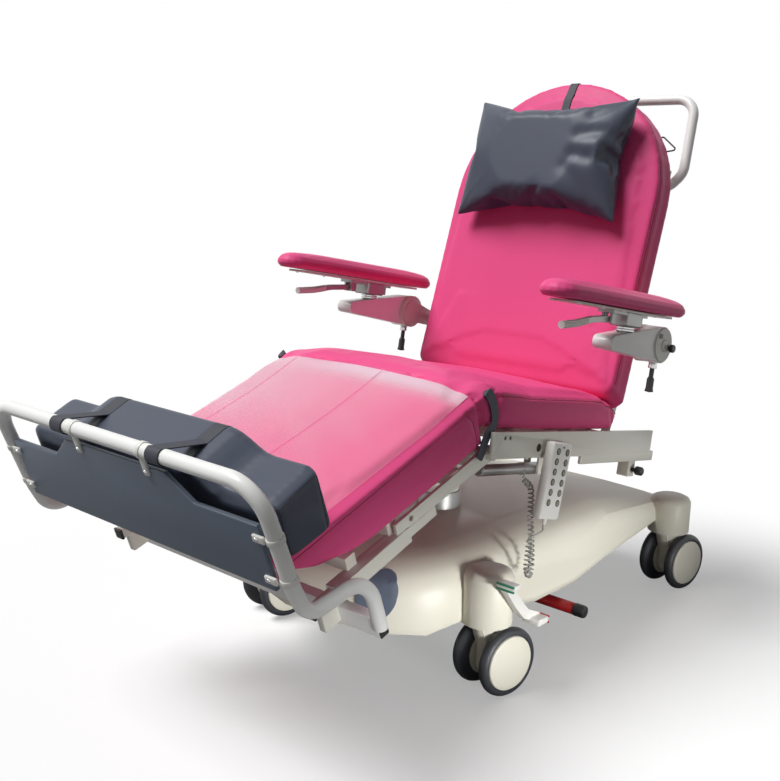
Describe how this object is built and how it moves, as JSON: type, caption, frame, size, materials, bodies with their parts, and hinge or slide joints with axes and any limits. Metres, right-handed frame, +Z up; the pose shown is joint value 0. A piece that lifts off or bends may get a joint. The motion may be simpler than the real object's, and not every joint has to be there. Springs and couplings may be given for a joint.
{
  "type": "dialysis chair",
  "caption": "Powered treatment chair on swivelling casters: lift column, tilting seat, hinged back and leg sections, sliding foot end, flip-up armrests and a corded handset.",
  "frame": {"origin": "on the floor under the middle of the outline, cord left out", "axes": "+Z up, -Y the way the patient faces, +X the side with the handset"},
  "size_m": [0.8596, 1.6476, 1.3189],
  "materials": {
    "pink_vinyl": "matt coated vinyl",
    "navy_vinyl": "matt coated vinyl",
    "navy_board": "matt",
    "cream_moulding": "satin moulding",
    "cream_paint": "satin paint",
    "white_tube": "gloss paint",
    "grey_metal": "satin",
    "steel": "brushed",
    "black_plastic": "matt",
    "black_webbing": "woven",
    "tyre": "matt",
    "clear_film": "clear, glossy",
    "white_plastic": "satin",
    "red_plastic": "satin",
    "grey_plastic": "matt",
    "cord": "matt"
  },
  "bodies": {
    "base": {"base_cover": "cream_moulding", "base_chassis": "grey_metal"},
    "column_mid": {"column_middle": "cream_paint"},
    "column_top": {"column_inner": "cream_paint"},
    "seat": {"seat_frame": "cream_paint", "seat_cushion": "pink_vinyl", "knee_gusset": "pink_vinyl", "knee_strap_right": "black_webbing", "knee_strap_left": "black_webbing", "handset": "white_plastic", "handset_cord": "cord"},
    "knob": {"clamp_knob": "black_plastic"},
    "leg": {"leg_frame": "cream_paint", "leg_cushion": "pink_vinyl", "leg_film": "clear_film"},
    "foot": {"foot_frame": "white_tube", "foot_panel": "navy_board", "foot_cushion": "navy_vinyl", "foot_strap_right": "black_webbing", "foot_strap_left": "black_webbing"},
    "back": {"back_frame": "cream_paint", "back_cushion": "pink_vinyl", "head_pillow": "navy_vinyl", "push_handle": "white_tube"},
    "brake": {"brake_pedal": "white_plastic"},
    "lock": {"lock_pedal": "red_plastic"},
    "leg_motor": {"leg_actuator": "grey_metal"},
    "leg_rod": {"leg_actuator_rod": "steel"},
    "back_motor": {"back_actuator": "grey_metal"},
    "back_rod": {"back_actuator_rod": "steel"},
    "arm_right": {"arm_beam_right": "cream_paint"},
    "arm_top_right": {"arm_bracket_right": "grey_metal", "arm_pad_right": "pink_vinyl"},
    "lever_right": {"arm_lever_right": "grey_metal"},
    "plunger_right": {"arm_plunger_right": "black_plastic"},
    "arm_left": {"arm_beam_left": "cream_paint"},
    "arm_top_left": {"arm_bracket_left": "grey_metal", "arm_pad_left": "pink_vinyl"},
    "lever_left": {"arm_lever_left": "grey_metal"},
    "plunger_left": {"arm_plunger_left": "black_plastic"},
    "caster_front_right": {"caster_fork_front_right": "cream_moulding"},
    "wheels_front_right": {"caster_wheels_front_right": "tyre"},
    "caster_front_left": {"caster_fork_front_left": "cream_moulding"},
    "wheels_front_left": {"caster_wheels_front_left": "tyre"},
    "caster_rear_right": {"caster_fork_rear_right": "cream_moulding"},
    "wheels_rear_right": {"caster_wheels_rear_right": "tyre"},
    "caster_rear_left": {"caster_fork_rear_left": "cream_moulding"},
    "wheels_rear_left": {"caster_wheels_rear_left": "tyre"},
    "key_01": {"button_01": "grey_plastic"},
    "key_02": {"button_02": "grey_plastic"},
    "key_03": {"button_03": "grey_plastic"},
    "key_04": {"button_04": "grey_plastic"},
    "key_05": {"button_05": "grey_plastic"},
    "key_06": {"button_06": "grey_plastic"},
    "key_07": {"button_07": "grey_plastic"},
    "key_08": {"button_08": "grey_plastic"},
    "key_09": {"button_09": "grey_plastic"},
    "key_10": {"button_10": "grey_plastic"},
    "key_11": {"button_11": "grey_plastic"},
    "key_12": {"button_12": "grey_plastic"}
  },
  "joints": [
    {"name": "lift", "type": "slide", "parent": "base", "child": "column_top", "axis": [0, 0, 1], "range_m": [0, 0.2]},
    {"name": "lift_middle", "type": "slide", "parent": "base", "child": "column_mid", "axis": [0, 0, 1], "range_m": [0, 0.1]},
    {"name": "tilt", "type": "hinge", "parent": "column_top", "child": "seat", "pos_m": [0, 0.10645, 0.43007], "axis": [-1, 0, 0], "range_deg": [-9, 3]},
    {"name": "leg_hinge", "type": "hinge", "parent": "seat", "child": "leg", "pos_m": [0, -0.11554, 0.51788], "axis": [1, 0, 0], "range_deg": [-28, 15], "deforming": ["knee_gusset"]},
    {"name": "back_hinge", "type": "hinge", "parent": "seat", "child": "back", "pos_m": [0, 0.41231, 0.46263], "axis": [-1, 0, 0], "range_deg": [-1, 75]},
    {"name": "foot_slide", "type": "slide", "parent": "leg", "child": "foot", "axis": [0, -0.9415, -0.3371], "range_m": [0, 0.12]},
    {"name": "arm_flip_right", "type": "hinge", "parent": "back", "child": "arm_right", "pos_m": [0.3808, 0.39521, 0.70385], "axis": [-1, 0, 0], "range_deg": [0, 35]},
    {"name": "arm_swivel_right", "type": "hinge", "parent": "arm_right", "child": "arm_top_right", "pos_m": [0.3808, 0.25727, 0.7662], "axis": [0, 0.1564, 0.9877], "range_deg": [-40, 3]},
    {"name": "arm_lever_right", "type": "hinge", "parent": "arm_top_right", "child": "lever_right", "pos_m": [0.3808, 0.18023, 0.7784], "axis": [-1, 0, 0], "range_deg": [0, 8]},
    {"name": "arm_plunger_right", "type": "slide", "parent": "arm_right", "child": "plunger_right", "axis": [0, -0.1564, -0.9877], "range_m": [0, 0.01], "stiffness_N_per_m": 400, "springref_m": -0.006},
    {"name": "arm_flip_left", "type": "hinge", "parent": "back", "child": "arm_left", "pos_m": [-0.3808, 0.39521, 0.70385], "axis": [-1, 0, 0], "range_deg": [0, 35]},
    {"name": "arm_swivel_left", "type": "hinge", "parent": "arm_left", "child": "arm_top_left", "pos_m": [-0.3808, 0.25727, 0.7662], "axis": [0, -0.1564, -0.9877], "range_deg": [-40, 3]},
    {"name": "arm_lever_left", "type": "hinge", "parent": "arm_top_left", "child": "lever_left", "pos_m": [-0.3808, 0.18023, 0.7784], "axis": [-1, 0, 0], "range_deg": [0, 8]},
    {"name": "arm_plunger_left", "type": "slide", "parent": "arm_left", "child": "plunger_left", "axis": [0, -0.1564, -0.9877], "range_m": [0, 0.01], "stiffness_N_per_m": 400, "springref_m": -0.006},
    {"name": "clamp_turn", "type": "hinge", "parent": "seat", "child": "knob", "pos_m": [0.308, 0.47908, 0.37278], "axis": [1, 0, 0], "range_deg": [-180, 180]},
    {"name": "swivel_front_right", "type": "hinge", "parent": "base", "child": "caster_front_right", "pos_m": [0.305, -0.106, 0.1], "axis": [0, 0, 1], "continuous": true},
    {"name": "roll_front_right", "type": "hinge", "parent": "caster_front_right", "child": "wheels_front_right", "pos_m": [0.30977, -0.08146, 0.075], "axis": [0.9816, -0.1908, 0], "continuous": true},
    {"name": "swivel_front_left", "type": "hinge", "parent": "base", "child": "caster_front_left", "pos_m": [-0.305, -0.106, 0.1], "axis": [0, 0, 1], "continuous": true},
    {"name": "roll_front_left", "type": "hinge", "parent": "caster_front_left", "child": "wheels_front_left", "pos_m": [-0.30977, -0.13054, 0.075], "axis": [-0.9816, 0.1908, 0], "continuous": true},
    {"name": "swivel_rear_right", "type": "hinge", "parent": "base", "child": "caster_rear_right", "pos_m": [0.305, 0.719, 0.1], "axis": [0, 0, 1], "continuous": true},
    {"name": "roll_rear_right", "type": "hinge", "parent": "caster_rear_right", "child": "wheels_rear_right", "pos_m": [0.30977, 0.74354, 0.075], "axis": [0.9816, -0.1908, 0], "continuous": true},
    {"name": "swivel_rear_left", "type": "hinge", "parent": "base", "child": "caster_rear_left", "pos_m": [-0.305, 0.719, 0.1], "axis": [0, 0, 1], "continuous": true},
    {"name": "roll_rear_left", "type": "hinge", "parent": "caster_rear_left", "child": "wheels_rear_left", "pos_m": [-0.30023, 0.74354, 0.075], "axis": [0.9816, -0.1908, 0], "continuous": true},
    {"name": "brake_rock", "type": "hinge", "parent": "base", "child": "brake", "pos_m": [0.373, -0.096, 0.212], "axis": [1, 0, 0], "range_deg": [0, 25]},
    {"name": "lock_rock", "type": "hinge", "parent": "base", "child": "lock", "pos_m": [0.235, 0.144, 0.194], "axis": [1, 0, 0], "range_deg": [-10, 10]},
    {"name": "key_01_press", "type": "slide", "parent": "seat", "child": "key_01", "axis": [-1, 0, 0], "range_m": [0, 0.0012], "stiffness_N_per_m": 500},
    {"name": "key_02_press", "type": "slide", "parent": "seat", "child": "key_02", "axis": [-1, 0, 0], "range_m": [0, 0.0012], "stiffness_N_per_m": 500},
    {"name": "key_03_press", "type": "slide", "parent": "seat", "child": "key_03", "axis": [-1, 0, 0], "range_m": [0, 0.0012], "stiffness_N_per_m": 500},
    {"name": "key_04_press", "type": "slide", "parent": "seat", "child": "key_04", "axis": [-1, 0, 0], "range_m": [0, 0.0012], "stiffness_N_per_m": 500},
    {"name": "key_05_press", "type": "slide", "parent": "seat", "child": "key_05", "axis": [-1, 0, 0], "range_m": [0, 0.0012], "stiffness_N_per_m": 500},
    {"name": "key_06_press", "type": "slide", "parent": "seat", "child": "key_06", "axis": [-1, 0, 0], "range_m": [0, 0.0012], "stiffness_N_per_m": 500},
    {"name": "key_07_press", "type": "slide", "parent": "seat", "child": "key_07", "axis": [-1, 0, 0], "range_m": [0, 0.0012], "stiffness_N_per_m": 500},
    {"name": "key_08_press", "type": "slide", "parent": "seat", "child": "key_08", "axis": [-1, 0, 0], "range_m": [0, 0.0012], "stiffness_N_per_m": 500},
    {"name": "key_09_press", "type": "slide", "parent": "seat", "child": "key_09", "axis": [-1, 0, 0], "range_m": [0, 0.0012], "stiffness_N_per_m": 500},
    {"name": "key_10_press", "type": "slide", "parent": "seat", "child": "key_10", "axis": [-1, 0, 0], "range_m": [0, 0.0012], "stiffness_N_per_m": 500},
    {"name": "key_11_press", "type": "slide", "parent": "seat", "child": "key_11", "axis": [-1, 0, 0], "range_m": [0, 0.0012], "stiffness_N_per_m": 500},
    {"name": "key_12_press", "type": "slide", "parent": "seat", "child": "key_12", "axis": [-1, 0, 0], "range_m": [0, 0.0012], "stiffness_N_per_m": 500},
    {"name": "leg_motor_swing", "type": "hinge", "parent": "seat", "child": "leg_motor", "pos_m": [0.15, 0.27815, 0.38263], "axis": [-1, 0, 0], "range_deg": [-4, 4]},
    {"name": "leg_rod_slide", "type": "slide", "parent": "leg_motor", "child": "leg_rod", "axis": [0, -0.9868, 0.1617], "range_m": [-0.025, 0.04]},
    {"name": "back_motor_swing", "type": "hinge", "parent": "seat", "child": "back_motor", "pos_m": [0, 0.18432, 0.39749], "axis": [1, 0, 0], "range_deg": [-2, 7]},
    {"name": "back_rod_slide", "type": "slide", "parent": "back_motor", "child": "back_rod", "axis": [0, 0.9989, -0.0477], "range_m": [-0.1, 0.012]}
  ],
  "couplings": [
    {"joint": "lift_middle", "follows": "lift", "ratio": 0.5},
    {"joint": "leg_motor_swing", "follows": "leg_hinge", "ratio": 0.07},
    {"joint": "leg_rod_slide", "follows": "leg_hinge", "m_per_rad": -0.07},
    {"joint": "back_motor_swing", "follows": "back_hinge", "ratio": 0.06},
    {"joint": "back_rod_slide", "follows": "back_hinge", "m_per_rad": -0.0723}
  ]
}
